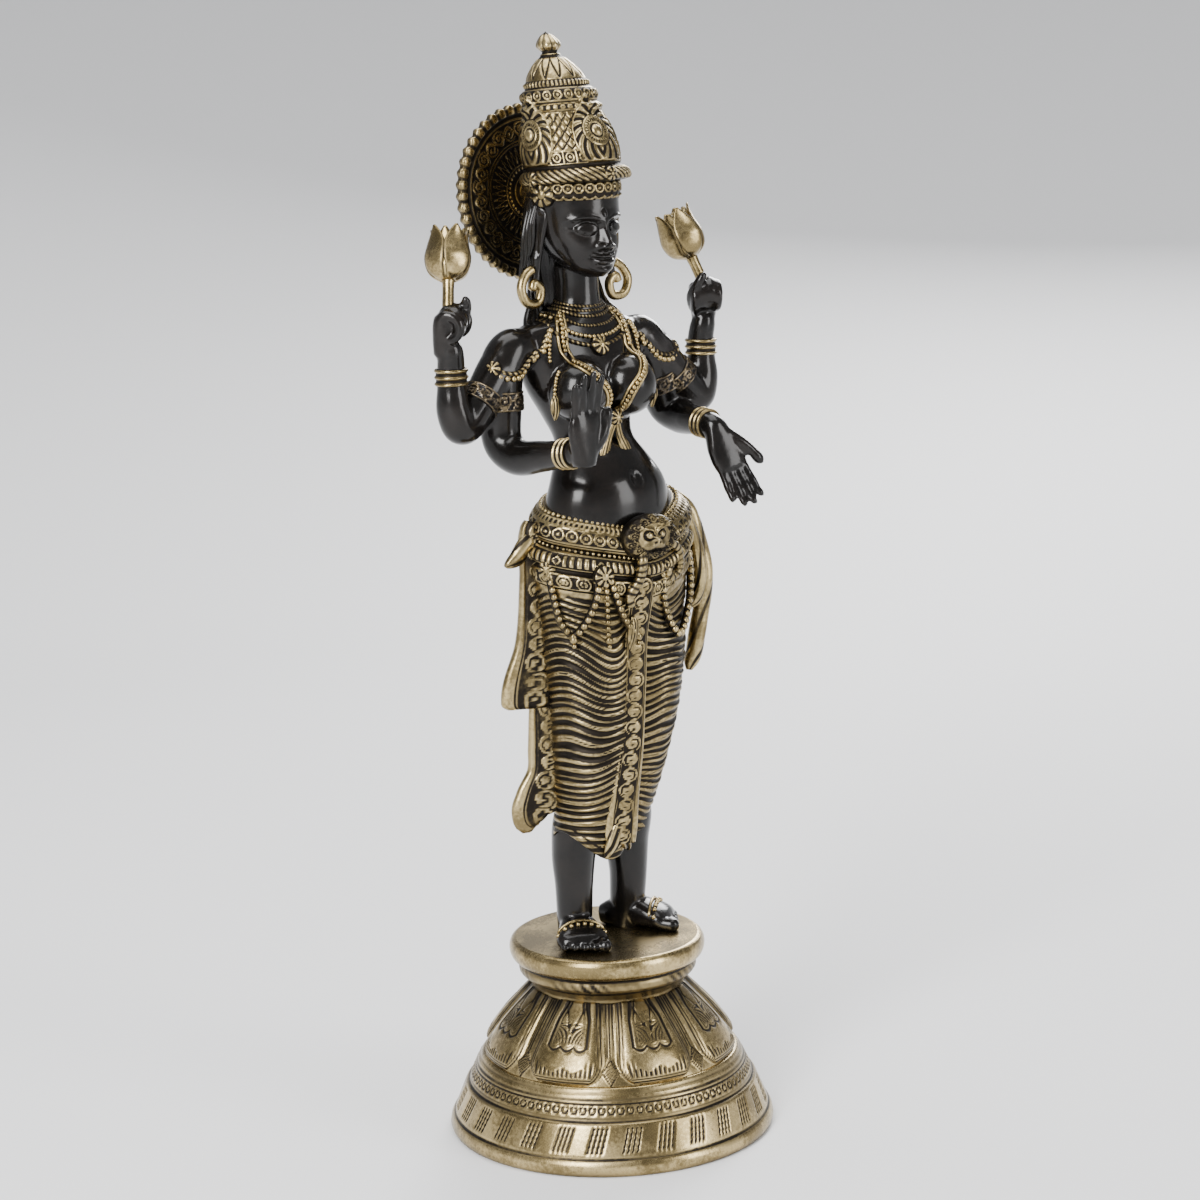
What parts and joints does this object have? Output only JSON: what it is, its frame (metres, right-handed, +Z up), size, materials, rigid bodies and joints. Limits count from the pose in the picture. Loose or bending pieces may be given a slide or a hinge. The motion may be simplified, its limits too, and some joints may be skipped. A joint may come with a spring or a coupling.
{
  "type": "standing lakshmi figure",
  "caption": "Standing brass figure of the goddess Lakshmi in a tall crown on a round lotus plinth, with a wheel halo behind the head, lotus buds in raised hands and lower hands open.",
  "frame": {"origin": "middle of the plinth's flat underside", "axes": "+Z up; the figure faces -Y, its right hand side is -X"},
  "size_m": [0.2514, 0.23, 0.7641],
  "materials": {
    "antique_brass": "aged, rubbed bright on high points, dark in the carving",
    "black_patina": "glossy black-brown patina"
  },
  "bodies": {
    "root": {"plinth": "antique_brass", "figure": "black_patina", "halo": "antique_brass", "lotus_bud_right": "antique_brass", "lotus_bud_left": "antique_brass"}
  },
  "joints": []
}
